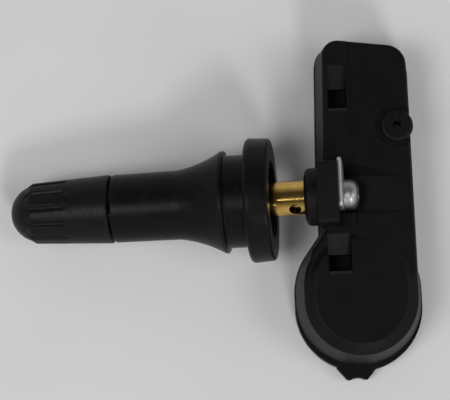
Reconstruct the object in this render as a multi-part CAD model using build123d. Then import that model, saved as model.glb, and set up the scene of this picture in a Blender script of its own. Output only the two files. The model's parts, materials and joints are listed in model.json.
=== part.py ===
from build123d import *
import math
import os

# Snap-in tyre pressure sensor, in millimetres.
# The origin is on the valve axis, where the wheel rim presses on the rubber flange.
# +X runs from the valve to the housing and +Z is up. The part rests on the edge of the
# flange and on the flat underside of the housing, so the valve axis leans by valve_tilt.
# The valve's pieces are turned about X, with u the distance along the axis, then tilted.

# Rubber stem
valve_tilt = 7.0
flange_r = 9.65
flange_t = 3.75
flange_taper = 0.25
flange_front_round = 0.7
flange_back_round = 0.4
dish_r = 6.0
dish_depth = 1.2
groove_depth = 0.75
neck_len = 3.35
ridge_r = 7.9
ridge_len = 0.55
ridge_round = 0.2
cone_len = 7.0
cone_sag = 0.38
stem_root_r = 5.35
stem_end_r = 5.25
stem_len = 10.1

# Cap
cap_gap = 0.35
cap_len = 15.9
cap_rim_t = 1.4
cap_rim_round = 0.25
dome_t = 0.5
dome_len = 2.8
grip_t = 0.75
grip_step_len = 0.9
cap_end_t = 4.2
flute_count = 12
flute_r = 0.55
flute_depth = 0.35
flute_open_u = 7.0
flute_len = 6.2
cap_seal_t = 0.6
cap_seal_hole_r = 1.6
seal_gap = 0.05

# Brass stem and its screw
thread_r = 3.85
thread_clear = 0.1
thread_past_rubber = 0.5
thread_chamfer = 0.5
insert_r = 2.9
insert_taper_len = 4.0
shank_r = 2.7
shank_show = 5.05
shank_fit = 0.03
air_r = 1.6
cross_hole_r = 0.85
cross_from_boss = 1.56
cross_angle = 50.0
air_past_cross = 0.75
screw_r = 1.5
screw_clear = 0.03
screw_len = 5.2
screw_tip_room = 0.4
screw_head_r = 2.35
screw_head_h = 2.25
screw_head_round = 1.2
recess_r = 0.95
lobe_r = 0.33
lobe_count = 6
recess_depth = 1.2

# Valve core
core_bore_r = 2.65
core_bore_len = 4.8
core_seat_len = 0.7
core_room_r = 1.95
core_room_len = 13.0
core_below_tip = 0.5
core_ear_len = 1.3
core_ear_w = 2.2
core_thread_gap = 0.05
core_thread_len = 2.6
core_eye_r = 0.75
core_neck_r = 1.45
core_neck_len = 1.95
core_seal_len = 0.8
core_seal_gap = 0.03
barrel_r = 1.7
barrel_bore_r = 1.0
barrel_len = 5.45
barrel_floor_t = 0.8
barrel_hole_r = 0.65
pin_r = 0.45
pin_below_tip = 0.25
pin_collar_gap = 0.15
pin_collar_t = 0.4
pin_collar_at = 0.35
pin_head_r = 1.2
pin_head_t = 0.4
pin_seal_r = 1.45
pin_seal_t = 0.8
pin_seat_gap = 0.02
spring_wire_r = 0.1
spring_turns = 5

# Collar, tower, plate
boss_r = 4.45
boss_len = 2.2
boss_round = 0.8
tower_len = 3.1
tower_half_w = 4.8
tower_top = 4.9
tower_root = 2.0
tower_round = 0.6
tower_face_t = 0.3
plate_t = 0.55
plate_low_y = -2.3
plate_high_y = 5.45
plate_low = -2.4
plate_high = 3.9
plate_hole_gap = 0.1
plate_round = 0.8
plate_fit = 0.05

# Housing outline
housing_w = 15.0
thin_in = 0.63
thin_left_y = 25.6
thin_right_y = 23.7
shoulder_y = 6.5
diagonal_top_y = -5.0
left_corner_r = 3.2
right_corner_r = 3.9
round_in = 5.6
round_y = -15.85
flank_up = 1.9
heel_out = 0.6
lip = 0.1
draft = 5.5
wall = 1.2

# Housing heights
base_h = 3.0
base_floor_t = 1.5
plinth_in = 0.45
plinth_h = 0.7
cover_h = 8.0
roof_t = 1.2
rail_rise = 0.2
rail_w = 4.6
disc_rise = 0.6
bevel_in = 1.1
bevel_low = 1.1
disc_in = 1.65
disc_roof_t = 1.4
top_round = 0.45

# Trough for the driver, latch windows, port and nub
trough_clear = 0.475
trough_low_y = -2.9
trough_floor_y = 3.4
trough_top_y = 5.4
trough_end_y = 2.4
trough_fade_in = 1.4
trough_part_gap = 0.25
trough_end_h = 0.1
step_w = 1.6
step_len = 2.2
step_h = 1.0
window_t = 1.0
window1_in = 1.9
window1_w = 2.9
window1_from_end = 12.0
window1_len = 6.9
window2_in = 0.8
window2_w = 3.6
window2_up = 4.15
window2_len = 5.7
window_depth = 3.1
window_chamfer = 0.3
sill_h = 0.25
sill_w = 0.6
sill_top_w = 0.12
tongue_share = 0.52
tongue_top = 0.35
tongue_drop = 1.2
port_in = 2.67
port_y = 10.6
port_r = 2.55
port_rise = 0.35
port_round = 0.6
port_ring_w = 0.75
port_ring_depth = 0.35
port_hole_r = 0.65
nub_left = 0.7
nub_root_w = 6.4
nub_tip_w = 3.2
nub_len = 1.3
nub_notch_r = 2.0
nub_notch_depth = 0.3
nub_h = 1.8

# Board, battery and the parts on the board
board_t = 0.8
board_in = 2.4
board_end_in = 1.7
board_corner_r = 2.2
board_end_gap = 0.6
board_shoulder_up = 6.0
board_post_r = 0.9
board_post_in = 1.2
board_gap = 0.1
side_gap = 0.55
cell_r = 8.0
cell_room = 0.6
cell_t = 3.2
cell_step = 0.6
cell_cap_r = 6.6
rib_count = 6
rib_w = 1.0
cell_fit = 0.1
tab_t = 0.15
tab_w = 3.0
chip_w = 4.6
chip_h = 1.7
chip_hole_r = 0.4
gasket_r = 0.9
gasket_hole_r = 0.4
gasket_t = 0.6
filter_t = 0.25
radio_w = 5.0
radio_h = 0.85
radio_in = 5.6
radio_y = -0.6
radio_chamfer = 0.14
crystal_size = (3.2, 2.5, 0.8)
crystal_round = 0.5
crystal_y = -5.2
coil_size = (6.0, 2.8, 2.5)
coil_flange = 0.9
coil_web = 1.3
coil_edge_gap = 0.5
coil_from_end = 2.9
winding_in = 0.2
winding_round = 0.4
antenna_r = 0.3
antenna_span = 11.0
antenna_h = 2.6
antenna_bend_r = 1.2
antenna_right = 4.5
antenna_up = 5.5
capacitor_size = (1.6, 0.8, 0.8)
capacitor_spots = [(2.2, 8.6), (2.2, 10.4), (5.0, 13.8), (7.0, 14.4), (8.8, -5.4)]
resistor_size = (1.0, 0.5, 0.35)
resistor_spots = [(2.0, 5.4), (3.6, 5.4), (5.2, 5.4), (6.8, 5.4)]

# Reach of cutters past a face, reach of a fused root, a length past everything, a match of edges
cut_past = 1.0
root = 0.5
far = 40.0
match_tol = 0.01

# Places along the valve axis
neck_r = ridge_r - groove_depth
neck_u = -neck_len
ridge_u = neck_u - ridge_len
cone_u = ridge_u - cone_len
rubber_end_u = cone_u - stem_len
cap_open_u = rubber_end_u - cap_gap
cap_tip_u = cap_open_u - cap_len
cap_bore_r = thread_r + thread_clear
cap_open_r = cap_bore_r + cap_rim_t
dome_r = cap_bore_r + dome_t
grip_r = cap_bore_r + grip_t
grip_u = cap_tip_u + dome_len + grip_step_len
cap_bore_end_u = cap_tip_u + cap_end_t
tip_u = cap_bore_end_u + seal_gap + cap_seal_t + seal_gap
thread_end_u = rubber_end_u - thread_past_rubber
boss_u = flange_t + shank_show
tower_u = boss_u + boss_len
plate_u = tower_u + tower_len
head_u = plate_u + plate_t
brass_end_u = plate_u - tower_face_t
cross_u = boss_u - cross_from_boss
air_end_u = cross_u + air_past_cross
plate_hole_r = screw_r + plate_hole_gap
screw_tip_u = head_u - screw_len
screw_hole_u = screw_tip_u - screw_tip_room

# Places along the valve core
core_thread_r = core_bore_r - core_thread_gap
core_seal_r = core_room_r - core_seal_gap
pin_collar_r = barrel_bore_r - pin_collar_gap
core_top_u = tip_u + core_below_tip
plug_u = core_top_u + core_ear_len
barrel_u = plug_u + core_thread_len
barrel_body_u = barrel_u + core_neck_len
barrel_end_u = barrel_u + barrel_len
spring_seat_u = barrel_end_u - barrel_floor_t
collar_u = barrel_u + pin_collar_at
pin_seal_u = barrel_end_u + pin_seat_gap
pin_head_u = pin_seal_u + pin_seal_t
pin_end_u = pin_head_u + pin_head_t

# Heights in the standing frame
tilt_sin = math.sin(math.radians(valve_tilt))
tilt_cos = math.cos(math.radians(valve_tilt))
flange_slope = math.atan(flange_taper / flange_t)
round_centre_r = flange_r - flange_front_round * (1 + math.sin(flange_slope)) / math.cos(flange_slope)
floor_z = flange_front_round * tilt_sin - round_centre_r * tilt_cos - flange_front_round
parting_z = floor_z + base_h
base_top_z = floor_z + base_floor_t
top_z = parting_z + cover_h
disc_z = top_z + disc_rise
cell_z = base_top_z + tab_t
cell_top_z = cell_z + cell_t
board_z = cell_top_z + tab_t + board_gap
board_top_z = board_z + board_t
trough_z = head_u * tilt_sin - screw_head_r * tilt_cos - trough_clear
trough_under_z = board_top_z + radio_h + trough_part_gap
gasket_z = board_top_z + chip_h
filter_z = gasket_z + gasket_t
chimney_z = filter_z + filter_t

# Places across the housing
left_x = tower_u * tilt_cos
right_x = left_x + housing_w
thin_left_x = left_x + thin_in
round_x = left_x + round_in
round_r = cell_r + cell_room + wall
bevel_r = round_r - bevel_in
disc_r = bevel_r - disc_in
flank_y = round_y + flank_up
flank_r = bevel_r + (cover_h + disc_rise - bevel_low) * math.tan(math.radians(draft))
heel_y = round_y - heel_out
trough_fade_x = right_x - trough_fade_in
window1_x = left_x + window1_in
window1_low_y = thin_left_y - window1_from_end
window2_x = left_x + window2_in
window2_low_y = round_y + window2_up
port_x = right_x - port_in
board_left_x = left_x + board_in
board_right_x = right_x - wall - side_gap
board_high_y = thin_right_y - board_end_in
board_end_r = round_r - wall - board_end_gap
board_shoulder_y = round_y + board_shoulder_up
radio_x = board_left_x + radio_in
coil_x = board_right_x - coil_edge_gap - coil_size[0] / 2
coil_y = board_high_y - coil_from_end
antenna_x = round_x + antenna_right
antenna_high_y = round_y + antenna_up
up = (0, 0, 1)


def turned(outline):
    """A solid of revolution about X from (u, radius) corners."""
    return revolve(make_face(Polyline(*outline, close=True)), Axis.X, 360)


def rod(u0, u1, r):
    """A round bar along X between two places on the valve axis."""
    return turned([(u0, 0), (u0, r), (u1, r), (u1, 0)])


def tilted(shape):
    """Leans a piece of the valve from the X axis to the valve axis."""
    return Rot(0, -valve_tilt, 0) * shape


def block(x0, x1, y0, y1, z0, z1):
    """An upright box between two corners."""
    box = Box(x1 - x0, y1 - y0, z1 - z0)
    return Pos((x0 + x1) / 2, (y0 + y1) / 2, (z0 + z1) / 2) * box


def post(x, y, z0, z1, r):
    """An upright round post."""
    return Pos(x, y, (z0 + z1) / 2) * Cylinder(r, z1 - z0)


def round_edges_at(shape, u, radius, edge_r):
    """Rounds the circular edge that lies at place u with the given radius."""
    rings = [e for e in shape.edges().filter_by(GeomType.CIRCLE)
             if abs(e.arc_center.X - u) < match_tol and abs(e.radius - radius) < match_tol]
    return fillet(rings, edge_r)


def rubber_stem():
    """Moulded valve body: a hollow-sided cone up to the ridge, the neck in the rim and the dished flange."""
    flange_back_r = flange_r - flange_taper
    flare = SagittaArc((cone_u, stem_root_r), (ridge_u, ridge_r), -cone_sag)
    rest = Polyline(
        (ridge_u, ridge_r), (neck_u, ridge_r), (neck_u, neck_r), (0, neck_r), (0, flange_r),
        (flange_t, flange_back_r), (flange_t, dish_r), (flange_t - dish_depth, dish_r),
        (flange_t - dish_depth, shank_r), (0, shank_r), (-insert_taper_len, insert_r),
        (rubber_end_u, insert_r), (rubber_end_u, stem_end_r), (cone_u, stem_root_r))
    body = revolve(make_face([flare, rest]), Axis.X, 360)
    body = round_edges_at(body, 0, flange_r, flange_front_round)
    body = round_edges_at(body, flange_t, flange_back_r, flange_back_round)
    body = round_edges_at(body, ridge_u, ridge_r, ridge_round)
    return round_edges_at(body, neck_u, ridge_r, ridge_round)


def valve_cap():
    """Cap with a dome, a step up to the fluted grip and a plain bore at the thread."""
    dome_turn = math.acos(1 - dome_len / dome_r)
    dome_mid, dome_end = [
        (cap_tip_u + dome_r * (1 - math.cos(turn)), dome_r * math.sin(turn))
        for turn in (dome_turn / 2, dome_turn)]
    edge = [
        ThreePointArc((cap_tip_u, 0), dome_mid, dome_end),
        Polyline(dome_end, (grip_u, grip_r), (cap_open_u, cap_open_r), (cap_open_u, cap_bore_r),
                 (cap_bore_end_u, cap_bore_r), (cap_bore_end_u, 0), (cap_tip_u, 0)),
    ]
    cap = revolve(make_face(edge), Axis.X, 360)
    cap = round_edges_at(cap, cap_open_u, cap_open_r, cap_rim_round)
    flute_u = cap_open_u - flute_open_u
    flute_centre_r = grip_r + flute_r - flute_depth
    bar = Pos(flute_u - flute_len / 2, 0, flute_centre_r) * Rot(0, 90, 0) * Cylinder(flute_r, flute_len)
    end = Pos(flute_u, 0, flute_centre_r) * Sphere(flute_r)
    for step in range(flute_count):
        cap -= Rot(step * 360 / flute_count, 0, 0) * (bar + end)
    return cap


def cap_seal():
    seal_u = cap_bore_end_u + seal_gap
    return rod(seal_u, seal_u + cap_seal_t, thread_r) - rod(seal_u, seal_u + cap_seal_t, cap_seal_hole_r)


def brass_stem():
    """Turned stem: threaded end, insert inside the rubber, bare shank, air bore and cross hole."""
    outline = [
        (tip_u, 0), (tip_u, thread_r - thread_chamfer), (tip_u + thread_chamfer, thread_r),
        (thread_end_u, thread_r), (thread_end_u, insert_r), (-insert_taper_len, insert_r),
        (0, shank_r), (brass_end_u, shank_r), (brass_end_u, 0),
    ]
    seat_u = tip_u + core_bore_len
    room_u = seat_u + core_seat_len
    bore = [
        (tip_u, 0), (tip_u, core_bore_r), (seat_u, core_bore_r), (room_u, core_room_r),
        (room_u + core_room_len, core_room_r), (room_u + core_room_len, air_r),
        (air_end_u, air_r), (air_end_u, 0),
    ]
    stem = turned(outline) - turned(bore)
    stem -= rod(screw_hole_u, brass_end_u, screw_r + screw_clear)
    drill = Cylinder(cross_hole_r, 2 * (shank_r + cut_past))
    return stem - Pos(cross_u, 0, 0) * Rot(cross_angle, 0, 0) * drill


def core_plug():
    """Threaded plug of the valve core, with two flats for the core key."""
    plug = rod(plug_u, barrel_u, core_thread_r) - rod(plug_u, barrel_u, barrel_bore_r)
    ears = rod(core_top_u, plug_u, core_thread_r)
    ears &= Pos((core_top_u + plug_u) / 2, 0, 0) * Box(core_ear_len, 2 * core_thread_r, core_ear_w)
    return plug + (ears - rod(core_top_u, plug_u, core_eye_r))


def core_barrel():
    """Tube below the plug: a neck for the seal, then the body with a floor that the spring sits on."""
    outline = [
        (barrel_u, barrel_bore_r), (barrel_u, core_neck_r), (barrel_body_u, core_neck_r),
        (barrel_body_u, barrel_r), (barrel_end_u, barrel_r), (barrel_end_u, barrel_hole_r),
        (spring_seat_u, barrel_hole_r), (spring_seat_u, barrel_bore_r),
    ]
    return turned(outline)


def core_plug_seal():
    start_u = barrel_body_u - core_seal_len
    return rod(start_u, barrel_body_u, core_seal_r) - rod(start_u, barrel_body_u, core_neck_r)


def core_pin():
    top_u = tip_u + pin_below_tip
    pin = rod(top_u, pin_end_u, pin_r) + rod(collar_u, collar_u + pin_collar_t, pin_collar_r)
    return pin + rod(pin_head_u, pin_end_u, pin_head_r)


def core_pin_seal():
    return rod(pin_seal_u, pin_head_u, pin_seal_r) - rod(pin_seal_u, pin_head_u, pin_r)


def core_spring():
    """Coil between the pin's collar and the barrel's floor."""
    coil_r = (pin_r + barrel_bore_r) / 2
    start_u = collar_u + pin_collar_t + 2 * spring_wire_r
    height = spring_seat_u - 2 * spring_wire_r - start_u
    path = Helix(height / spring_turns, height, coil_r)
    wire = sweep(Plane(path @ 0, z_dir=path % 0) * Circle(spring_wire_r), path)
    return Pos(start_u, 0, 0) * Rot(0, 90, 0) * wire


def stem_screw():
    """Round-head screw with a six-lobed recess; its thread is a plain shank here."""
    screw = rod(screw_tip_u, head_u, screw_r) + rod(head_u, head_u + screw_head_h, screw_head_r)
    screw = round_edges_at(screw, head_u + screw_head_h, screw_head_r, screw_head_round)
    star = Circle(recess_r)
    star += PolarLocations(recess_r, lobe_count) * Circle(lobe_r)
    recess = extrude(Plane.YZ * star, recess_depth)
    return screw - Pos(head_u + screw_head_h - recess_depth, 0, 0) * recess


def retaining_plate():
    wide = plate_high_y - plate_low_y
    tall = plate_high - plate_low
    plate = Pos(plate_u + plate_t / 2, (plate_low_y + plate_high_y) / 2, (plate_low + plate_high) / 2)
    plate = plate * Box(plate_t, wide, tall)
    top_corners = plate.edges().filter_by(Axis.X).group_by(Axis.Z)[-1]
    return fillet(top_corners, plate_round) - rod(plate_u, head_u, plate_hole_r)


def diagonal_end():
    """Where the diagonal from the left side touches the battery end's outline."""
    across = left_x - round_x
    along = diagonal_top_y - flank_y
    turn = math.atan2(along, across) + math.acos(round_r / math.hypot(across, along))
    return round_x + round_r * math.cos(turn), flank_y + round_r * math.sin(turn)


def box_outline(grow):
    """Plan of the housing's straight part, with two rounded corners at its thin end."""
    plan = Polygon(
        (left_x, shoulder_y), (thin_left_x, thin_left_y), (right_x, thin_right_y), (right_x, flank_y),
        (round_x - flank_r, flank_y), diagonal_end(), (left_x, diagonal_top_y), align=None)
    corners = [(thin_left_x, thin_left_y, left_corner_r), (right_x, thin_right_y, right_corner_r)]
    for x, y, corner_r in corners:
        plan = fillet(plan.vertices().sort_by_distance((x, y, 0))[0], corner_r)
    if grow:
        plan = offset(plan, grow)
    return plan


def full_outline(grow, low_y=round_y):
    """Plan of the whole housing; its battery end is round above flank_y and below low_y."""
    slot = SlotCenterToCenter(flank_y - low_y, 2 * (round_r + grow), 90)
    return box_outline(grow) + Pos(round_x, (flank_y + low_y) / 2) * slot


def round_end(shrink, roof_z):
    """The battery end: a drafted wall, a bevel and a flat top, with straight flanks between round ends."""
    half = [(round_r - shrink, parting_z), (bevel_r - shrink, roof_z - bevel_low), (disc_r - shrink, roof_z)]
    side = make_face(Polyline((0, 0, parting_z), *[(r, 0, z) for r, z in half], (0, 0, roof_z), close=True))
    both = half + [(-r, z) for r, z in reversed(half)]
    across = make_face(Polyline(*[(r, 0, z) for r, z in both], close=True))
    upper = Pos(0, flank_up, 0) * revolve(side, Axis.Z, 180)
    lower = Rot(0, 0, 180) * revolve(side, Axis.Z, 180)
    return Pos(round_x, round_y, 0) * (lower + extrude(across, flank_up, dir=(0, 1, 0)) + upper)


def drafted_box(grow, height):
    return Pos(0, 0, parting_z) * extrude(box_outline(grow), height, dir=up, taper=draft)


def soft_top(shape):
    return fillet(shape.edges().group_by(Axis.Z)[-1], top_round)


def soft_disc():
    """The battery end with its two bevel edges rounded."""
    disc = round_end(0, disc_z)
    edges = []
    for z in (disc_z - bevel_low, disc_z):
        edges += disc.edges().filter_by_position(Axis.Z, z - match_tol, z + match_tol)
    return fillet(edges, top_round)


def window(x, wide, low_y, length, surface_z):
    """A latch window: a sloping tongue with a chamfered upper end and a deep hole below it."""
    high_y = low_y + length
    tongue_y = high_y - tongue_share * length
    over_z = disc_z + cut_past
    side = [
        (low_y, over_z), (low_y, surface_z - window_depth), (tongue_y, surface_z - window_depth),
        (tongue_y, surface_z - tongue_top - tongue_drop), (high_y, surface_z - tongue_top),
        (high_y + window_chamfer, surface_z), (high_y + window_chamfer, over_z),
    ]
    face = make_face(Polyline(*[(x, y, z) for y, z in side], close=True))
    return extrude(face, wide, dir=(1, 0, 0))


def sill(x, wide, low_y, surface_z):
    """A low ridge along the lower edge of a latch window."""
    side = [
        (low_y, surface_z - sill_h), (low_y, surface_z + sill_h), (low_y - sill_top_w, surface_z + sill_h),
        (low_y - sill_w, surface_z), (low_y - sill_w, surface_z - sill_h),
    ]
    face = make_face(Polyline(*[(x, y, z) for y, z in side], close=True))
    return extrude(face, wide, dir=(1, 0, 0))


def trough():
    """Space for the driver: its floor climbs from the screw to the top face at the right edge."""
    start_x = plate_u * tilt_cos
    past_x = right_x + cut_past
    climb = (top_z - trough_z) / (trough_fade_x - start_x)
    past_z = trough_z + climb * (past_x - start_x)
    near = [(trough_low_y, trough_z), (trough_floor_y, trough_z), (trough_top_y, top_z),
            (trough_top_y, far), (trough_low_y, far)]
    side_y = trough_end_y + trough_end_h
    away = [(trough_low_y, past_z), (trough_end_y, past_z), (side_y, past_z + trough_end_h),
            (side_y, far), (trough_low_y, far)]
    near_face = make_face(Polyline(*[(start_x, y, z) for y, z in near], close=True))
    away_face = make_face(Polyline(*[(past_x, y, z) for y, z in away], close=True))
    return loft([near_face, away_face], ruled=True)


def plate_slot():
    """Slot that holds the plate's foot, open upwards."""
    wide = plate_high_y - plate_low_y + 2 * plate_fit
    place = Pos(plate_u + plate_t / 2, (plate_low_y + plate_high_y) / 2, plate_low + far / 2)
    return place * Box(plate_t, wide, far)


def cavity():
    """Room inside the cover, with the thick places around windows, trough, stem and port left standing."""
    room = drafted_box(-wall, cover_h - roof_t) + round_end(wall, disc_z - disc_roof_t)
    window_under_z = top_z - window_depth - window_t
    keep1 = block(0, window1_x + window1_w + window_t, window1_low_y - window_t,
                  window1_low_y + window1_len + window_t, window_under_z, far)
    keep2 = block(0, window2_x + window2_w + window_t, window2_low_y - window_t,
                  window2_low_y + window2_len + window_t, window_under_z, far)
    keep_trough = block(0, far, trough_low_y - window_t, trough_top_y + window_t, trough_under_z, far)
    keep_port = post(port_x, port_y, chimney_z, far, port_r)
    return room - keep1 - keep2 - keep_trough - keep_port


def top_cover():
    shell = soft_top(drafted_box(0, cover_h)) + soft_disc()
    rail = soft_top(drafted_box(0, cover_h + rail_rise))
    shell += rail & block(0, thin_left_x + rail_w, tower_half_w, far, parting_z, far)
    tower = Box(tower_len, 2 * tower_half_w, tower_root + tower_top)
    tower = fillet(tower.edges().filter_by(Axis.X).group_by(Axis.Z)[-1], tower_round)
    tower = Pos((tower_u + plate_u) / 2, 0, (tower_top - tower_root) / 2) * tower
    boss = round_edges_at(rod(boss_u, tower_u + root, boss_r), boss_u, boss_r, boss_round)
    shell += tilted(tower + boss)
    shell -= trough() + tilted(plate_slot())
    step_x = plate_u * tilt_cos
    shell += block(step_x, step_x + step_len, trough_low_y - step_w, trough_low_y,
                   trough_under_z, top_z + step_h)
    shell -= cavity()
    shell += post(port_x, port_y, chimney_z, top_z, port_r)
    ring = post(port_x, port_y, top_z - port_ring_depth, far, port_r + port_ring_w)
    nub = post(port_x, port_y, top_z - port_ring_depth - root, top_z + port_rise, port_r)
    nub = fillet(nub.edges().group_by(Axis.Z)[-1], port_round)
    shell = shell - ring + nub
    shell -= post(port_x, port_y, -far, far, port_hole_r)
    shell += sill(window1_x, window1_w, window1_low_y, top_z + rail_rise)
    shell += sill(window2_x, window2_w, window2_low_y, disc_z)
    shell -= window(window1_x, window1_w, window1_low_y, window1_len, top_z + rail_rise)
    shell -= window(window2_x, window2_w, window2_low_y, window2_len, top_z)
    shell -= tilted(rod(boss_u - cut_past, brass_end_u, shank_r + shank_fit))
    shell -= tilted(rod(brass_end_u - cut_past, plate_u + cut_past, plate_hole_r))
    return shell


def end_nub():
    """A short tongue on the round end, with a shallow notch in its tip."""
    root_y = heel_y - round_r + root
    tip_y = heel_y - round_r - lip - nub_len
    nub_x = round_x - nub_left
    plan = Polygon((nub_x - nub_root_w / 2, root_y), (nub_x + nub_root_w / 2, root_y),
                   (nub_x + nub_tip_w / 2, tip_y), (nub_x - nub_tip_w / 2, tip_y), align=None)
    plan -= Pos(nub_x, tip_y - nub_notch_r + nub_notch_depth) * Circle(nub_notch_r)
    return Pos(0, 0, floor_z + plinth_h) * extrude(plan, nub_h, dir=up)


def base_room():
    return Pos(0, 0, base_top_z) * extrude(full_outline(-wall), base_h - base_floor_t, dir=up)


def base_shell():
    """Flat-bottomed lower shell, with cell ribs and posts that carry the board."""
    shell = Pos(0, 0, floor_z) * extrude(full_outline(lip - plinth_in, heel_y), base_h, dir=up)
    shell += Pos(0, 0, floor_z + plinth_h) * extrude(full_outline(lip, heel_y), base_h - plinth_h, dir=up)
    shell += end_nub()
    shell -= base_room()
    rib_in_r = cell_r + cell_fit
    rib_out_r = round_r - wall + root
    rib_x = (rib_in_r + rib_out_r) / 2
    rib_len = rib_out_r - rib_in_r
    rib_h = parting_z - base_top_z
    for step in range(rib_count):
        rib = Pos(rib_x, 0, base_top_z + rib_h / 2) * Box(rib_len, rib_w, rib_h)
        shell += Pos(round_x, round_y, 0) * Rot(0, 0, (step + 0.5) * 360 / rib_count) * rib
    for x, y in board_posts():
        shell += post(x, y, base_top_z, board_z, board_post_r)
    return shell


def board_posts():
    """Places of the posts under the board: two at its thin end and two beside the tower."""
    columns = (board_left_x + board_post_in, board_right_x - board_post_in)
    rows = (board_high_y - board_corner_r, -tower_half_w)
    return [(x, y) for x in columns for y in rows]


def circuit_board():
    middle = Pos((board_left_x + board_right_x) / 2, (board_high_y + board_shoulder_y) / 2)
    plan = middle * Rectangle(board_right_x - board_left_x, board_high_y - board_shoulder_y)
    plan = fillet(plan.vertices().group_by(Axis.Y)[-1], board_corner_r)
    plan += Pos(round_x, round_y) * Circle(board_end_r)
    return Pos(0, 0, board_z) * extrude(plan, board_t, dir=up)


def coin_cell():
    can = post(round_x, round_y, cell_z + cell_step, cell_top_z, cell_r)
    return can + post(round_x, round_y, cell_z, cell_z + cell_step, cell_cap_r)


def tab(strip_z, leg_x):
    """A welded strip on one face of the cell, with a leg that stands up to the board."""
    leg_y = round_y + cell_r + cell_fit + tab_t
    strip = block(leg_x - tab_w / 2, leg_x + tab_w / 2, round_y, leg_y, strip_z, strip_z + tab_t)
    leg = block(leg_x - tab_w / 2, leg_x + tab_w / 2, leg_y, leg_y + tab_t, strip_z, board_z)
    return strip + leg


def pressure_chip():
    body = block(board_right_x - chip_w, board_right_x, port_y - chip_w / 2, port_y + chip_w / 2,
                 board_top_z, gasket_z)
    return body - post(port_x, port_y, gasket_z - chip_h / 2, gasket_z, chip_hole_r)


def port_gasket():
    ring = post(port_x, port_y, gasket_z, filter_z, gasket_r)
    return ring - post(port_x, port_y, gasket_z, filter_z, gasket_hole_r)


def port_filter():
    return post(port_x, port_y, filter_z, chimney_z, gasket_r)


def on_board(size, spots):
    """Like parts of one size on the board, each placed by its distance from the left edge and its Y."""
    wide, deep, tall = size
    part_z = board_top_z + tall / 2
    return Compound([Pos(board_left_x + x, y, part_z) * Box(wide, deep, tall) for x, y in spots])


def crystal_can():
    wide, deep, tall = crystal_size
    can = Pos(radio_x, crystal_y, board_top_z + tall / 2) * Box(wide, deep, tall)
    return fillet(can.edges().filter_by(Axis.Z), crystal_round)


def transmitter_chip():
    chip = Pos(radio_x, radio_y, board_top_z + radio_h / 2) * Box(radio_w, radio_w, radio_h)
    return chamfer(chip.faces().sort_by(Axis.Z)[-1].edges(), radio_chamfer)


def coil_core():
    """Ferrite bobbin: a square web between two end blocks."""
    long, wide, tall = coil_size
    place = Pos(coil_x, coil_y, board_top_z + tall / 2)
    core = Box(long, coil_web, coil_web)
    for side in (-1, 1):
        core += Pos(side * (long - coil_flange) / 2, 0, 0) * Box(coil_flange, wide, tall)
    return place * core


def coil_winding():
    long, wide, tall = coil_size
    inner = long - 2 * coil_flange
    turns = Box(inner, wide - 2 * winding_in, tall - 2 * winding_in)
    turns = fillet(turns.edges().filter_by(Axis.X), winding_round)
    return Pos(coil_x, coil_y, board_top_z + tall / 2) * (turns - Box(inner, coil_web, coil_web))


def antenna_wire():
    """A staple of round wire that stands on the board over the cell."""
    low_y = antenna_high_y - antenna_span
    peak_z = board_top_z + antenna_h
    path = FilletPolyline(
        (antenna_x, antenna_high_y, board_top_z), (antenna_x, antenna_high_y, peak_z),
        (round_x, low_y, peak_z), (round_x, low_y, board_top_z), radius=antenna_bend_r)
    return sweep(Plane(path @ 0, z_dir=path % 0) * Circle(antenna_r), path)


def potting_compound(embedded):
    """Cast filling of the closed housing, around every piece inside it except the air path of the port."""
    filling = base_room() + cavity() - post(port_x, port_y, gasket_z - chip_h, far, gasket_r)
    for piece in embedded:
        filling -= piece
    return filling


lower = base_shell()
housed = {
    "circuit_board": circuit_board(),
    "coin_cell": coin_cell(),
    "positive_tab": tab(cell_top_z, round_x + tab_w),
    "negative_tab": tab(base_top_z, round_x - tab_w),
    "pressure_chip": pressure_chip(),
    "port_gasket": port_gasket(),
    "port_filter": port_filter(),
    "transmitter_chip": transmitter_chip(),
    "crystal_can": crystal_can(),
    "coil_core": coil_core(),
    "coil_winding": coil_winding(),
    "antenna_wire": antenna_wire(),
    "chip_capacitors": on_board(capacitor_size, capacitor_spots),
    "chip_resistors": on_board(resistor_size, resistor_spots),
}
pieces = {
    "rubber_stem": tilted(rubber_stem()),
    "valve_cap": tilted(valve_cap()),
    "cap_seal": tilted(cap_seal()),
    "brass_stem": tilted(brass_stem()),
    "core_plug": tilted(core_plug()),
    "core_plug_seal": tilted(core_plug_seal()),
    "core_barrel": tilted(core_barrel()),
    "core_pin": tilted(core_pin()),
    "core_pin_seal": tilted(core_pin_seal()),
    "core_spring": tilted(core_spring()),
    "stem_screw": tilted(stem_screw()),
    "retaining_plate": tilted(retaining_plate()),
    "top_cover": top_cover(),
    "base_shell": lower,
    **housed,
    "potting_compound": potting_compound([lower, *housed.values()]),
}

os.makedirs("parts", exist_ok=True)
for name, shape in pieces.items():
    export_step(shape, f"parts/{name}.step")
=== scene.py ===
import bmesh
import bpy
import json
import math
from mathutils import Matrix, Vector


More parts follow.
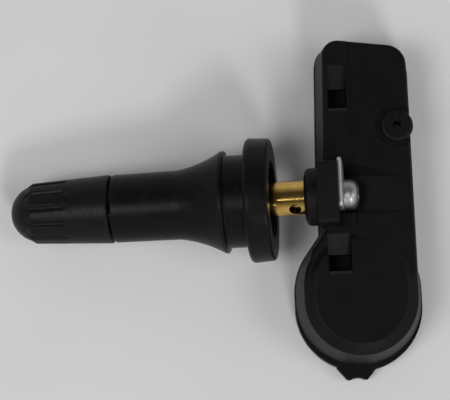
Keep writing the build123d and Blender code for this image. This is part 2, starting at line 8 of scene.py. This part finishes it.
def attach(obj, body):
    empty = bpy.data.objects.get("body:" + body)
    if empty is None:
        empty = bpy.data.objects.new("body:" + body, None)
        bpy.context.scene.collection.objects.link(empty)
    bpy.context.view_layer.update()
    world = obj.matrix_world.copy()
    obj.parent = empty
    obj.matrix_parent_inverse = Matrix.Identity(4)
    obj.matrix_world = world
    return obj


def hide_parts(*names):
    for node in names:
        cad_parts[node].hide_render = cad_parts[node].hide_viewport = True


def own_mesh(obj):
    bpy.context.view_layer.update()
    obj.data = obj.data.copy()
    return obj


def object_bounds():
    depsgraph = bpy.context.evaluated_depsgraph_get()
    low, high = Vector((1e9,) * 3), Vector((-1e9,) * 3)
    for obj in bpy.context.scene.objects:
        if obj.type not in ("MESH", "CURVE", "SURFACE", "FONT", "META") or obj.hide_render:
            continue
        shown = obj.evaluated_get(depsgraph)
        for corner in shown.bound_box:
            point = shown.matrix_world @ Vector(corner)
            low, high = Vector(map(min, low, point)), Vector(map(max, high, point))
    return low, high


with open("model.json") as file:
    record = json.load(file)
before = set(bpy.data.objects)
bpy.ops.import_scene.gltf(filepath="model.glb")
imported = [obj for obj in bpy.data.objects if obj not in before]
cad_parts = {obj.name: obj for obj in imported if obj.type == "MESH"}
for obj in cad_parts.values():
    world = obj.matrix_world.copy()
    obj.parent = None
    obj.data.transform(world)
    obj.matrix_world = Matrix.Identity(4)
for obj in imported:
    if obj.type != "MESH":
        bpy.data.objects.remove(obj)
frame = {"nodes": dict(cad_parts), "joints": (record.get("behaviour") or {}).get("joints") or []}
cad_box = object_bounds()
nodes = frame["nodes"]
joints = {joint["name"]: joint for joint in frame["joints"]}
mm = 0.001

# The valve axis, from the cap towards the housing, with its sideways and upward directions
valve_in = -Vector(joints["cap_turn"]["axis"]).normalized()
valve_side = Vector((0, 1, 0))
valve_up = valve_in.cross(valve_side)


def on_valve(u, side, up):
    """A point given in millimetres along and across the valve axis, in the frame's metres."""
    return (valve_in * u + valve_side * side + valve_up * up) * mm


def reach(node):
    """Where a node starts and ends along the valve axis, and its largest radius, in millimetres."""
    along, out = [], []
    for vertex in nodes[node].data.vertices:
        u = vertex.co.dot(valve_in)
        along.append(u / mm)
        out.append((vertex.co - valve_in * u).length / mm)
    return min(along), max(along), max(out)


# Sizes in millimetres that the remade pieces share with the solids
rubber_end_u, flange_u = reach("rubber_stem")[:2]
cap_tip_u, cap_open_u, cap_open_r = reach("valve_cap")
tip_u, brass_end_u, thread_r = reach("brass_stem")
screw_tip_u, screw_top_u, screw_head_r = reach("stem_screw")
plate_u, head_u = reach("retaining_plate")[:2]
seal_u, seal_end_u = reach("cap_seal")[:2]
insert_r = 2.9
insert_taper = 4.0
shank_r = 2.7
thread_pitch = 0.794
thread_depth = 0.42
thread_past_rubber = 0.5
thread_end_u = rubber_end_u - thread_past_rubber
thread_chamfer = 0.5
thread_run_in = 0.5
thread_run_out = 0.6
stem_end_r = 5.25
stem_root_r = 5.35
cone_u = -10.9
cone_sag = 0.38
ridge_u = -3.9
ridge_r = 7.9
neck_u = -3.35
neck_r = 7.15
flange_r = 9.65
flange_taper = 0.25
dish_r = 6.0
dish_depth = 1.2
cap_thread_gap = 0.1
cap_thread_depth = 0.05
cap_thread_from_seal = 0.3
cap_thread_from_open = 0.6
cap_bore_r = thread_r + cap_thread_gap
cap_wall_t = 0.2
dome_r = 4.45
dome_len = 2.8
grip_r = 4.7
grip_step_len = 0.9
grip_u = cap_tip_u + dome_len + grip_step_len
flute_count = 12
flute_r = 0.55
flute_depth = 0.35
flute_from_open = 7.0
flute_len = 6.2
flute_start_u = cap_open_u - flute_from_open
flute_end_u = flute_start_u - flute_len
core_bore_r = 2.65
core_bore_len = 4.8
core_seat_len = 0.7
core_room_r = 1.95
core_room_len = 13.0
core_seat_u = tip_u + core_bore_len
core_room_u = core_seat_u + core_seat_len
core_room_end_u = core_room_u + core_room_len
air_r = 1.6
air_past_cross = 0.75
cross_u = 7.24
cross_r = 0.85
cross_angle = math.radians(50)
cross_chamfer = [(2.45, cross_r), (2.6, 0.9), (3.2, 1.1)]
air_end_u = cross_u + air_past_cross
screw_r = 1.5
screw_hole_r = 1.53
screw_tip_room = 0.4
screw_hole_u = screw_tip_u - screw_tip_room
screw_pitch = 0.5
screw_thread_depth = 0.12
screw_tip_len = 0.4
screw_tip_in = 0.3
screw_plain_len = 0.3
recess_r = 1.06
recess_wave = 0.2
recess_lobes = 6
recess_depth = 1.2
moulded_edge = 0.14
pressed_edge = 0.1

# How near to a radius a point counts as lying on it, and how far cutters reach past a face
on_radius = 0.01
cut_past = 0.5


def add_object(name, mesh):
    obj = bpy.data.objects.new(name, mesh)
    bpy.context.scene.collection.objects.link(obj)
    return obj


def smooth(mesh, angle=32):
    """Smooth shading, with sharp edges where faces meet at more than the angle."""
    mesh.polygons.foreach_set("use_smooth", [True] * len(mesh.polygons))
    mesh.set_sharp_from_angle(angle=math.radians(angle))
    return mesh


def rounded(corners, steps=7):
    """An outline with its corners rounded: each corner is (u, radius, rounding)."""
    points = []
    count = len(corners)
    for i, (u, r, size) in enumerate(corners):
        here = Vector((u, r))
        if size == 0:
            points.append(here)
            continue
        back = (Vector(corners[i - 1][:2]) - here).normalized()
        ahead = (Vector(corners[(i + 1) % count][:2]) - here).normalized()
        half = back.angle(ahead) / 2
        middle = here + (back + ahead).normalized() * (size / math.sin(half))
        start = here + back * (size / math.tan(half)) - middle
        end = here + ahead * (size / math.tan(half)) - middle
        first = math.atan2(start.y, start.x)
        turn = (math.atan2(end.y, end.x) - first + math.pi) % (2 * math.pi) - math.pi
        for step in range(steps + 1):
            angle = first + turn * step / steps
            points.append(middle + Vector((math.cos(angle), math.sin(angle))) * size)
    return [tuple(p) for p in points]


def divided(points, longest, fine_from=math.inf, finest=1.0):
    """The closed outline with points added so that no step is too long; those on the axis stay whole.

    Sides that lie wholly at fine_from or farther out are cut into the finest steps."""
    fine = []
    for (u0, r0), (u1, r1) in zip(points, points[1:] + points[:1]):
        step = finest if min(r0, r1) >= fine_from else longest
        count = max(1, math.ceil(math.dist((u0, r0), (u1, r1)) / step)) if r0 + r1 > 0 else 1
        fine += [(u0 + (u1 - u0) * k / count, r0 + (r1 - r0) * k / count) for k in range(count)]
    return fine


def turned(name, outline, segments, shape=None):
    """A closed outline turned about the valve axis; shape may change a point's radius by its angle."""
    bm = bmesh.new()
    rings = []
    for u, r in outline:
        if r < 1e-6:
            rings.append([bm.verts.new(on_valve(u, 0, 0))] * segments)
            continue
        ring = []
        for k in range(segments):
            angle = 2 * math.pi * k / segments
            wide = shape(u, r, angle) if shape else r
            ring.append(bm.verts.new(on_valve(u, wide * math.cos(angle), wide * math.sin(angle))))
        rings.append(ring)
    for a, b in zip(rings, rings[1:] + rings[:1]):
        for k in range(segments):
            n = (k + 1) % segments
            corners = list(dict.fromkeys((a[k], a[n], b[n], b[k])))
            if len(corners) > 2:
                bm.faces.new(corners)
    bmesh.ops.recalc_face_normals(bm, faces=bm.faces)
    mesh = bpy.data.meshes.new(name)
    bm.to_mesh(mesh)
    bm.free()
    return add_object(name, smooth(mesh))


def applied(obj):
    """Replaces an object's mesh by what its modifiers make of it."""
    made = bpy.data.meshes.new_from_object(obj.evaluated_get(bpy.context.evaluated_depsgraph_get()))
    old = obj.data
    obj.modifiers.clear()
    obj.data = made
    made.name = obj.name
    bpy.data.meshes.remove(old)
    return obj


def cut(obj, cutter):
    """Cuts one piece with another, which is then removed."""
    modifier = obj.modifiers.new("cut", "BOOLEAN")
    modifier.operation = "DIFFERENCE"
    modifier.solver = "EXACT"
    modifier.object = cutter
    applied(obj)
    bpy.data.objects.remove(cutter)
    smooth(obj.data)
    return obj


def rod_mesh(name, rings):
    """A closed bar through rings of points, with flat ends."""
    bm = bmesh.new()
    loops = [[bm.verts.new(p) for p in ring] for ring in rings]
    for a, b in zip(loops, loops[1:]):
        for k in range(len(a)):
            n = (k + 1) % len(a)
            bm.faces.new((a[k], a[n], b[n], b[k]))
    bm.faces.new(loops[0])
    bm.faces.new(loops[-1])
    bmesh.ops.recalc_face_normals(bm, faces=bm.faces)
    mesh = bpy.data.meshes.new(name)
    bm.to_mesh(mesh)
    bm.free()
    return add_object(name, mesh)


def helix(u, angle, pitch):
    """A thread's profile, from 0 at its root to 1 at its crest, along a right-handed helix."""
    crest, slope = 1.25, 3.5
    phase = (u / pitch - angle / (2 * math.pi)) % 1
    return max(0.0, min(1.0, crest - abs(phase - 0.5) * slope))


def ease(value):
    """A smooth step from 0 to 1."""
    value = max(0.0, min(1.0, value))
    return value * value * (3 - 2 * value)


# The rubber stem

def hollow_cone(steps=16):
    """Points of the cone's hollow side, without its two ends."""
    start = Vector((cone_u, stem_root_r))
    chord = Vector((ridge_u, ridge_r)) - start
    inward = Vector((chord.y, -chord.x)).normalized()
    shares = [step / steps for step in range(1, steps)]
    return [(*(start + chord * s + inward * (4 * cone_sag * s * (1 - s))), 0) for s in shares]


def rubber_stem():
    outline = rounded([
        (rubber_end_u, insert_r, 0), (rubber_end_u, stem_end_r, 0.3), (cone_u, stem_root_r, 0),
        *hollow_cone(),
        (ridge_u, ridge_r, 0.12), (neck_u, ridge_r, 0.2), (neck_u, neck_r, 0.2), (0, neck_r, 0.3),
        (0, flange_r, 0.7), (flange_u, flange_r - flange_taper, 0.4), (flange_u, dish_r, 0.35),
        (flange_u - dish_depth, dish_r, 0.3), (flange_u - dish_depth, shank_r, 0), (0, shank_r, 0),
        (-insert_taper, insert_r, 0),
    ])
    return turned("rubber_stem_body", divided(outline, 0.5), 192)


# The valve cap

def flute(u, r, angle):
    """How deep the grip flutes cut at this place of the cap's outside."""
    slope, reach_out = 1.25, 1.15
    spread = 2 * math.pi / flute_count
    away = abs((angle + spread / 2) % spread - spread / 2) * r
    past = max(0.0, u - flute_start_u)
    across = math.hypot(away, past)
    half = math.sqrt(flute_r ** 2 - (flute_r - flute_depth) ** 2)
    return flute_depth * ease(slope * (1 - across / (half * reach_out)))


def cap_shape(u, r, angle):
    """Flutes outside, thread inside."""
    least_r = cap_bore_r + cap_wall_t
    if flute_end_u < u < flute_start_u + flute_r and r > least_r:
        return min(r, max(r - flute(u, r, angle), least_r))
    threaded = seal_end_u + cap_thread_from_seal < u < cap_open_u - cap_thread_from_open
    if threaded and abs(r - cap_bore_r) < on_radius:
        return r - cap_thread_depth * helix(u, angle, thread_pitch)
    return r


def valve_cap():
    dome = []
    dome_end = math.acos(1 - dome_len / dome_r)
    steps = 30
    for step in range(steps + 1):
        turn = dome_end * step / steps
        dome.append((cap_tip_u + dome_r * (1 - math.cos(turn)), dome_r * math.sin(turn)))
    rest = rounded([
        (*dome[-1], 0), (grip_u, grip_r, 0.8), (cap_open_u, cap_open_r, 0.25),
        (cap_open_u, cap_bore_r, 0.15), (seal_u, cap_bore_r, 0.2), (seal_u, 0, 0),
    ])
    return turned("valve_cap_shell", divided(dome[:-1] + rest, 0.22), 288, cap_shape)


# The brass stem

def stem_shape(u, r, angle):
    """The valve thread outside the stem's end."""
    start_u = tip_u + thread_chamfer
    if start_u <= u <= thread_end_u and r > thread_r - 2 * on_radius:
        fade = ease((u - start_u) / thread_run_in) * ease((thread_end_u - u) / thread_run_out)
        return r - thread_depth * fade * (1 - helix(u, angle, thread_pitch))
    return r


def cross_drill():
    """A drill across the stem that leaves a small chamfer at each mouth."""
    across = valve_side * -math.sin(cross_angle) + valve_up * math.cos(cross_angle)
    ring = valve_in.cross(across)
    steps = 48
    rings = []
    for out, wide in [(-out, wide) for out, wide in reversed(cross_chamfer)] + cross_chamfer:
        points = []
        for k in range(steps):
            turn = 2 * math.pi * k / steps
            points.append((valve_in * (cross_u + wide * math.cos(turn)) + ring * (wide * math.sin(turn))
                           + across * out) * mm)
        rings.append(points)
    return rod_mesh("cross_drill", rings)


def brass_stem():
    outline = rounded([
        (tip_u, core_bore_r, 0), (tip_u, thread_r - thread_chamfer, 0), (tip_u + thread_chamfer, thread_r, 0),
        (thread_end_u, thread_r, 0), (thread_end_u, insert_r, 0), (-insert_taper, insert_r, 0),
        (0, shank_r, 0), (brass_end_u, shank_r, 0.2), (brass_end_u, screw_hole_r, 0),
        (screw_hole_u, screw_hole_r, 0), (screw_hole_u, 0, 0), (air_end_u, 0, 0), (air_end_u, air_r, 0),
        (core_room_end_u, air_r, 0), (core_room_end_u, core_room_r, 0), (core_room_u, core_room_r, 0),
        (core_seat_u, core_bore_r, 0),
    ])
    fine = divided(outline, 0.8, thread_r - 2 * on_radius, 0.066)
    return cut(turned("brass_stem_body", fine, 96, stem_shape), cross_drill())


# The screw

def screw_shape(u, r, angle):
    """The thread of the screw's shank."""
    threaded = screw_tip_u + screw_tip_len < u < plate_u - screw_plain_len
    if threaded and abs(r - screw_r) < on_radius:
        return r - screw_thread_depth * (1 - helix(u, angle, screw_pitch))
    return r


def screw_recess():
    """A six-lobed bar whose points lie between the screw's own, so that the cut leaves no empty faces."""
    steps = 96
    rings = []
    for u in (screw_top_u - recess_depth, screw_top_u + cut_past):
        points = []
        for k in range(steps):
            turn = 2 * math.pi * (k + 0.4) / steps
            wide = recess_r + recess_wave * math.cos(recess_lobes * turn)
            points.append(on_valve(u, wide * math.cos(turn), wide * math.sin(turn)))
        rings.append(points)
    return rod_mesh("screw_recess", rings)


def stem_screw():
    outline = rounded([
        (screw_tip_u, 0, 0), (screw_tip_u, screw_r - screw_tip_in, 0),
        (screw_tip_u + screw_tip_len, screw_r, 0), (head_u, screw_r, 0), (head_u, screw_head_r, 0.15),
        (screw_top_u, screw_head_r, 1.2), (screw_top_u, 0, 0),
    ])
    return cut(turned("stem_screw_body", divided(outline, 0.09), 72, screw_shape), screw_recess())


# Moulded and pressed pieces, from their solids with softened edges

def softened(name, node, edge, segments=3, angle=28):
    """A copy of a solid with rounded edges, whose flat faces keep their own shading."""
    mesh = nodes[node].data.copy()
    mesh.name = name
    bm = bmesh.new()
    bm.from_mesh(mesh)
    bmesh.ops.remove_doubles(bm, verts=bm.verts, dist=1e-7)
    bmesh.ops.dissolve_limit(bm, angle_limit=math.radians(0.6), verts=bm.verts, edges=bm.edges)
    bm.to_mesh(mesh)
    bm.free()
    obj = add_object(name, smooth(mesh, angle - 2))
    bevel = obj.modifiers.new("edges", "BEVEL")
    bevel.width = edge * mm
    bevel.segments = segments
    bevel.limit_method = "ANGLE"
    bevel.angle_limit = math.radians(angle)
    bevel.miter_outer = "MITER_ARC"
    shading = obj.modifiers.new("shading", "WEIGHTED_NORMAL")
    shading.keep_sharp = True
    return applied(obj)


# Materials

class Paint:
    """A material whose nodes are placed in millimetres of the frame."""

    def __init__(self, name, metallic=0.0, specular=0.5):
        self.material = bpy.data.materials.new(name)
        self.material.use_nodes = True
        self.tree = self.material.node_tree
        self.shader = self.tree.nodes["Principled BSDF"]
        self.shader.inputs["Metallic"].default_value = metallic
        self.shader.inputs["Specular IOR Level"].default_value = specular
        self.coordinates = self.tree.nodes.new("ShaderNodeTexCoord").outputs["Object"]

    def node(self, kind, settings=None, **inputs):
        made = self.tree.nodes.new(kind)
        for key, value in (settings or {}).items():
            setattr(made, key, value)
        for key, value in inputs.items():
            self.give(made.inputs[key], value)
        return made

    def give(self, socket, value):
        if isinstance(value, bpy.types.NodeSocket):
            self.tree.links.new(value, socket)
        else:
            socket.default_value = value

    def scaled(self, stretch=(1, 1, 1)):
        """Object coordinates in millimetres, stretched."""
        made = self.node("ShaderNodeMapping", Vector=self.coordinates)
        made.inputs["Scale"].default_value = [1000 / s for s in stretch]
        return made.outputs["Vector"]

    def along(self):
        """Distance along the valve axis in millimetres."""
        made = self.node("ShaderNodeVectorMath", {"operation": "DOT_PRODUCT"})
        self.give(made.inputs[0], self.coordinates)
        made.inputs[1].default_value = [c / mm for c in valve_in]
        return made.outputs["Value"]

    def noise(self, size, detail=3.0, roughness=0.55, stretch=(1, 1, 1)):
        made = self.node("ShaderNodeTexNoise", Vector=self.scaled(stretch), Scale=1 / size,
                         Detail=detail, Roughness=roughness)
        return made.outputs["Fac"]

    def lines(self, size, detail=2.0):
        """Noise that varies along the valve axis alone, as tool marks do."""
        made = self.node("ShaderNodeTexNoise", {"noise_dimensions": "1D"}, W=self.along(), Scale=1 / size,
                         Detail=detail)
        return made.outputs["Fac"]

    def cells(self, size):
        made = self.node("ShaderNodeTexVoronoi", Vector=self.scaled(), Scale=1 / size)
        return made.outputs["Distance"]

    def ramp(self, value, stops):
        made = self.node("ShaderNodeValToRGB", Fac=value)
        elements = made.color_ramp.elements
        while len(elements) < len(stops):
            elements.new(0.5)
        for element, (place, colour) in zip(elements, stops):
            element.position = place
            grey = (colour, colour, colour) if isinstance(colour, (int, float)) else colour
            element.color = (*grey, 1)
        return made.outputs["Color"]

    def mix(self, amount, first, second):
        """The first colour, covered by the second, a plain one, where the amount is high."""
        made = self.node("ShaderNodeMix", {"data_type": "RGBA"})
        self.give(made.inputs["Factor"], amount)
        self.give(made.inputs[6], first)
        self.give(made.inputs[7], (*second, 1))
        return made.outputs[2]

    def colour(self, value):
        self.give(self.shader.inputs["Base Color"], value)

    def rough(self, value):
        self.give(self.shader.inputs["Roughness"], value)

    def bump(self, height, depth, strength):
        """Adds relief of the given depth in millimetres on top of earlier relief."""
        before = self.shader.inputs["Normal"].links
        made = self.node("ShaderNodeBump", Height=height, Distance=depth * mm, Strength=strength)
        if before:
            self.give(made.inputs["Normal"], before[0].from_socket)
        self.give(self.shader.inputs["Normal"], made.outputs["Normal"])


def rubber(name, dark=0.0035, light=0.0058):
    paint = Paint(name, specular=0.1)
    cloudy = paint.noise(3.0, 5)
    bloom = paint.ramp(paint.noise(1.1, 6, 0.65), [(0.45, 0.0), (0.8, 1.0)])
    base = paint.ramp(cloudy, [(0.3, dark), (0.75, light)])
    paint.colour(paint.mix(bloom, base, (light * 1.5, light * 1.48, light * 1.44)))
    paint.rough(paint.ramp(paint.noise(0.8, 4), [(0.25, 0.28), (0.8, 0.42)]))
    paint.bump(paint.noise(0.16, 3), 0.012, 0.5)
    paint.bump(paint.noise(1.4, 2), 0.03, 0.35)
    return paint.material


def cap_plastic(name):
    paint = Paint(name, specular=0.14)
    base = paint.ramp(paint.noise(2.2, 4), [(0.3, 0.0048), (0.8, 0.008)])
    scuffs = paint.ramp(paint.noise(0.25, 3, stretch=(14, 1, 1)), [(0.62, 0.0), (0.8, 0.7)])
    paint.colour(paint.mix(scuffs, base, (0.014, 0.014, 0.014)))
    paint.rough(paint.ramp(paint.noise(0.5, 4), [(0.25, 0.34), (0.8, 0.5)]))
    paint.bump(paint.noise(0.12, 3), 0.006, 0.5)
    return paint.material


def housing_plastic(name):
    """Glass-filled nylon with a fine spark-eroded skin and a few paler flow marks."""
    paint = Paint(name, specular=0.135)
    base = paint.ramp(paint.noise(4.0, 4), [(0.3, 0.0034), (0.75, 0.0055)])
    flow = paint.ramp(paint.noise(0.9, 5, 0.6, stretch=(1, 4, 1)), [(0.58, 0.0), (0.85, 0.55)])
    paint.colour(paint.mix(flow, base, (0.011, 0.011, 0.0112)))
    paint.rough(paint.ramp(paint.noise(0.6, 4), [(0.25, 0.4), (0.8, 0.56)]))
    paint.bump(paint.cells(0.14), 0.008, 0.4)
    paint.bump(paint.noise(0.5, 3), 0.012, 0.3)
    return paint.material


def turned_metal(name, dark, light, rough, line=0.05):
    """Brass with tool marks and a few dull spots, with painted shade darkening it where the cap meets the
    rubber.
    """
    paint = Paint(name, metallic=1.0)
    tone = paint.ramp(paint.noise(1.6, 5), [(0.3, dark), (0.7, light)])
    spots = paint.ramp(paint.noise(0.35, 4), [(0.68, 0.0), (0.85, 0.3)])
    dull = paint.mix(spots, tone, tuple(c * 0.55 for c in dark))
    # Painted shade: a dark band on the brass in the gap between the cap and the rubber's end, where shade
    # falls
    shade_reach = 3
    near_joint = paint.node("ShaderNodeMapRange", Value=paint.along())
    near_joint.inputs["From Min"].default_value = rubber_end_u - shade_reach
    near_joint.inputs["From Max"].default_value = rubber_end_u + shade_reach
    painted_shade = paint.ramp(near_joint.outputs["Result"], [(0.3, 0.0), (0.42, 0.9), (0.6, 0.9), (0.7, 0.0)])
    paint.colour(paint.mix(painted_shade, dull, (0.03, 0.024, 0.015)))
    paint.rough(paint.ramp(paint.lines(line * 3), [(0.3, rough[0]), (0.75, rough[1])]))
    paint.bump(paint.lines(line), 0.0015, 0.25)
    return paint.material


def plated_steel(name, tone=0.5, rough=(0.26, 0.42), grain=(1, 1, 1), relief=0.006):
    paint = Paint(name, metallic=1.0)
    dark = (tone * 0.8, tone * 0.8, tone * 0.77)
    paint.colour(paint.ramp(paint.noise(0.9, 5), [(0.3, dark), (0.75, tone)]))
    paint.rough(paint.ramp(paint.noise(0.12, 4, stretch=grain), [(0.25, rough[0]), (0.8, rough[1])]))
    paint.bump(paint.noise(0.1, 3, stretch=grain), relief, 0.4)
    return paint.material


def moulded(name, dark, light, rough=(0.4, 0.6), size=0.6):
    """A moulded or fired surface: two tones in small clouds, with a fine skin."""
    paint = Paint(name, specular=0.4)
    paint.colour(paint.ramp(paint.noise(size, 4), [(0.3, dark), (0.75, light)]))
    paint.rough(paint.ramp(paint.noise(size / 2, 3), [(0.25, rough[0]), (0.8, rough[1])]))
    paint.bump(paint.noise(size / 4, 3), 0.006, 0.4)
    return paint.material


def solder_mask(name):
    """Green board lacquer over copper tracks, which show as paler, slightly raised bands."""
    paint = Paint(name, specular=0.5)
    tracks = paint.node("ShaderNodeTexBrick", Vector=paint.scaled((1, 1, 40)), Scale=1.0)
    tracks.inputs["Mortar Size"].default_value = 0.06
    tracks.inputs["Color1"].default_value = (0, 0, 0, 1)
    tracks.inputs["Color2"].default_value = (0.15, 0.15, 0.15, 1)
    tracks.inputs["Mortar"].default_value = (1, 1, 1, 1)
    green = paint.ramp(paint.noise(1.5, 3), [(0.3, (0.012, 0.09, 0.035)), (0.75, (0.02, 0.13, 0.05))])
    paint.colour(paint.mix(tracks.outputs["Color"], green, (0.05, 0.24, 0.09)))
    paint.rough(paint.ramp(paint.noise(0.5, 3), [(0.3, 0.25), (0.8, 0.4)]))
    paint.bump(tracks.outputs["Color"], 0.03, 0.4)
    return paint.material


def copper_turns(name):
    """Enamelled wire laid side by side."""
    paint = Paint(name, metallic=1.0)
    wave = paint.node("ShaderNodeTexWave", {"bands_direction": "X"}, Vector=paint.scaled(), Scale=2.2)
    paint.colour(paint.ramp(wave.outputs["Fac"], [(0.1, (0.28, 0.09, 0.03)), (0.6, (0.66, 0.27, 0.11))]))
    paint.rough(paint.ramp(paint.noise(0.3, 3), [(0.3, 0.28), (0.8, 0.42)]))
    paint.bump(wave.outputs["Fac"], 0.06, 0.6)
    return paint.material


def dress(obj, material):
    """Gives all of a piece one material."""
    obj.data.materials.clear()
    obj.data.materials.append(material)
    for polygon in obj.data.polygons:
        polygon.material_index = 0


def stand_for(obj, node, body, material):
    """Dresses a remade piece, lets it ride on its body and has it take its solid's place."""
    dress(obj, material)
    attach(obj, body)
    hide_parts(node)


black_housing = housing_plastic("housing_plastic")
brass = turned_metal("brass", (0.5, 0.31, 0.075), (0.68, 0.45, 0.13), (0.09, 0.18))
core_brass = turned_metal("core_brass", (0.5, 0.33, 0.1), (0.7, 0.48, 0.18), (0.22, 0.36), 0.04)

stand_for(rubber_stem(), "rubber_stem", "sensor", rubber("stem_rubber"))
stand_for(valve_cap(), "valve_cap", "cap", cap_plastic("cap_plastic"))
stand_for(brass_stem(), "brass_stem", "sensor", brass)
stand_for(stem_screw(), "stem_screw", "sensor",
          plated_steel("screw_steel", 0.45, (0.3, 0.5), relief=0.03))
stand_for(softened("retaining_plate_body", "retaining_plate", pressed_edge), "retaining_plate", "sensor",
          plated_steel("plate_steel", 0.72, (0.42, 0.6), (1, 12, 1)))
stand_for(softened("top_cover_shell", "top_cover", moulded_edge), "top_cover", "sensor",
          black_housing)
stand_for(softened("base_shell_body", "base_shell", moulded_edge), "base_shell", "sensor",
          black_housing)

# Core spring, a smooth copy of its solid with a mesh of its own; the real spring shortens as the pin is
# pressed in
spring_end_u, spring_seat_u = reach("core_spring")[:2]
spring = add_object("core_spring_coil", smooth(nodes["core_spring"].data.copy()))
stand_for(spring, "core_spring", "sensor", plated_steel("spring_steel", 0.5))
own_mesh(spring)

chip_tones = ((0.008, 0.008, 0.008), (0.02, 0.02, 0.02))
inner_looks = {
    "cap_seal": rubber("seal_rubber", 0.01, 0.02),
    "core_pin_seal": rubber("pin_seal_rubber", 0.01, 0.02),
    "port_gasket": rubber("gasket_rubber", 0.012, 0.022),
    "core_plug_seal": moulded("core_seal", (0.3, 0.02, 0.015), (0.45, 0.045, 0.03)),
    "core_plug": core_brass,
    "core_barrel": core_brass,
    "core_pin": core_brass,
    "potting_compound": moulded("potting", (0.012, 0.012, 0.014), (0.03, 0.03, 0.033), (0.22, 0.4), 1.2),
    "circuit_board": solder_mask("board"),
    "coin_cell": plated_steel("cell_steel", 0.55, (0.2, 0.34), (1, 10, 1)),
    "positive_tab": plated_steel("positive_tab_nickel", 0.52, (0.25, 0.4), (1, 10, 1)),
    "negative_tab": plated_steel("negative_tab_nickel", 0.52, (0.25, 0.4), (1, 10, 1)),
    "pressure_chip": moulded("pressure_chip_black", *chip_tones, (0.5, 0.7), 0.2),
    "transmitter_chip": moulded("radio_chip_black", *chip_tones, (0.5, 0.7), 0.2),
    "port_filter": moulded("filter_white", (0.68, 0.68, 0.66), (0.82, 0.82, 0.8), (0.6, 0.8), 0.1),
    "crystal_can": plated_steel("can_steel", 0.6, (0.18, 0.3), (8, 1, 1)),
    "coil_core": moulded("ferrite", (0.02, 0.02, 0.022), (0.06, 0.06, 0.065), (0.5, 0.7), 0.15),
    "coil_winding": copper_turns("winding_copper"),
    "antenna_wire": copper_turns("antenna_copper"),
    "chip_capacitors": moulded("capacitor", (0.34, 0.22, 0.12), (0.48, 0.35, 0.22), (0.4, 0.6), 0.3),
    "chip_resistors": moulded("resistor", (0.015, 0.015, 0.015), (0.04, 0.04, 0.04), (0.4, 0.6), 0.2),
}
for node, look in inner_looks.items():
    dress(nodes[node], look)


# Floor, light and camera

def floor_material():
    paint = Paint("floor", specular=0.2)
    paint.colour(paint.ramp(paint.noise(40, 2), [(0.3, (0.79, 0.79, 0.79)), (0.7, (0.83, 0.83, 0.83))]))
    paint.rough(paint.ramp(paint.noise(5, 2), [(0.3, 0.8), (0.7, 0.9)]))
    return paint.material


def floor():
    half = 3.0
    low = cad_box[0].z
    mesh = bpy.data.meshes.new("floor")
    mesh.from_pydata([(-half, -half, low), (half, -half, low), (half, half, low), (-half, half, low)], [],
                     [(0, 1, 2, 3)])
    obj = add_object("floor", mesh)
    dress(obj, floor_material())


def lamp(name, direction, size, power, distance=1.0):
    """A soft square lamp that faces the object from the given direction."""
    data = bpy.data.lights.new(name, "AREA")
    data.shape = "SQUARE"
    data.size = size
    data.energy = power
    obj = bpy.data.objects.new(name, data)
    bpy.context.scene.collection.objects.link(obj)
    away = Vector(direction).normalized()
    obj.location = away * distance
    obj.rotation_euler = (-away).to_track_quat("-Z", "Y").to_euler()


def surroundings():
    """A grey room: dim overhead, paler towards the horizon."""
    world = bpy.data.worlds.new("room")
    world.use_nodes = True
    tree = world.node_tree
    place = tree.nodes.new("ShaderNodeTexCoord")
    split = tree.nodes.new("ShaderNodeSeparateXYZ")
    ramp = tree.nodes.new("ShaderNodeValToRGB")
    stops = [(0.25, (0.62, 0.62, 0.625, 1)), (0.85, (0.06, 0.06, 0.061, 1))]
    for element, (place_up, colour) in zip(ramp.color_ramp.elements, stops):
        element.position = place_up
        element.color = colour
    background = tree.nodes["Background"]
    tree.links.new(place.outputs["Generated"], split.inputs["Vector"])
    tree.links.new(split.outputs["Z"], ramp.inputs["Fac"])
    tree.links.new(ramp.outputs["Color"], background.inputs["Color"])
    background.inputs["Strength"].default_value = 1.0
    bpy.context.scene.world = world


def camera():
    """A long lens nearly straight above the part."""
    azimuth = math.radians(0.35)
    elevation = math.radians(81)
    roll = math.radians(-2.0)
    distance = 0.308
    target = Vector((-3.66, 0.29, 0)) * mm
    ahead = Vector((math.sin(azimuth) * math.cos(elevation), math.cos(azimuth) * math.cos(elevation),
                    -math.sin(elevation)))
    data = bpy.data.cameras.new("camera")
    data.sensor_width = 36
    data.sensor_fit = "HORIZONTAL"
    data.lens = 160
    data.clip_start = 0.01
    obj = bpy.data.objects.new("camera", data)
    bpy.context.scene.collection.objects.link(obj)
    level = ahead.to_track_quat("-Z", "Y").to_matrix()
    obj.rotation_euler = (level @ Matrix.Rotation(roll, 3, "Z")).to_euler()
    obj.location = target - ahead * distance
    bpy.context.scene.camera = obj


floor()
surroundings()
lamp("left_lamp", (-0.36, -0.18, 0.74), 0.36, 2.9)
lamp("right_lamp", (0.64, -0.18, 0.74), 0.36, 1.5)
lamp("front_lamp", (0.2, -0.68, 0.66), 0.2, 2.3)
camera()
bpy.context.scene.view_settings.view_transform = "Standard"
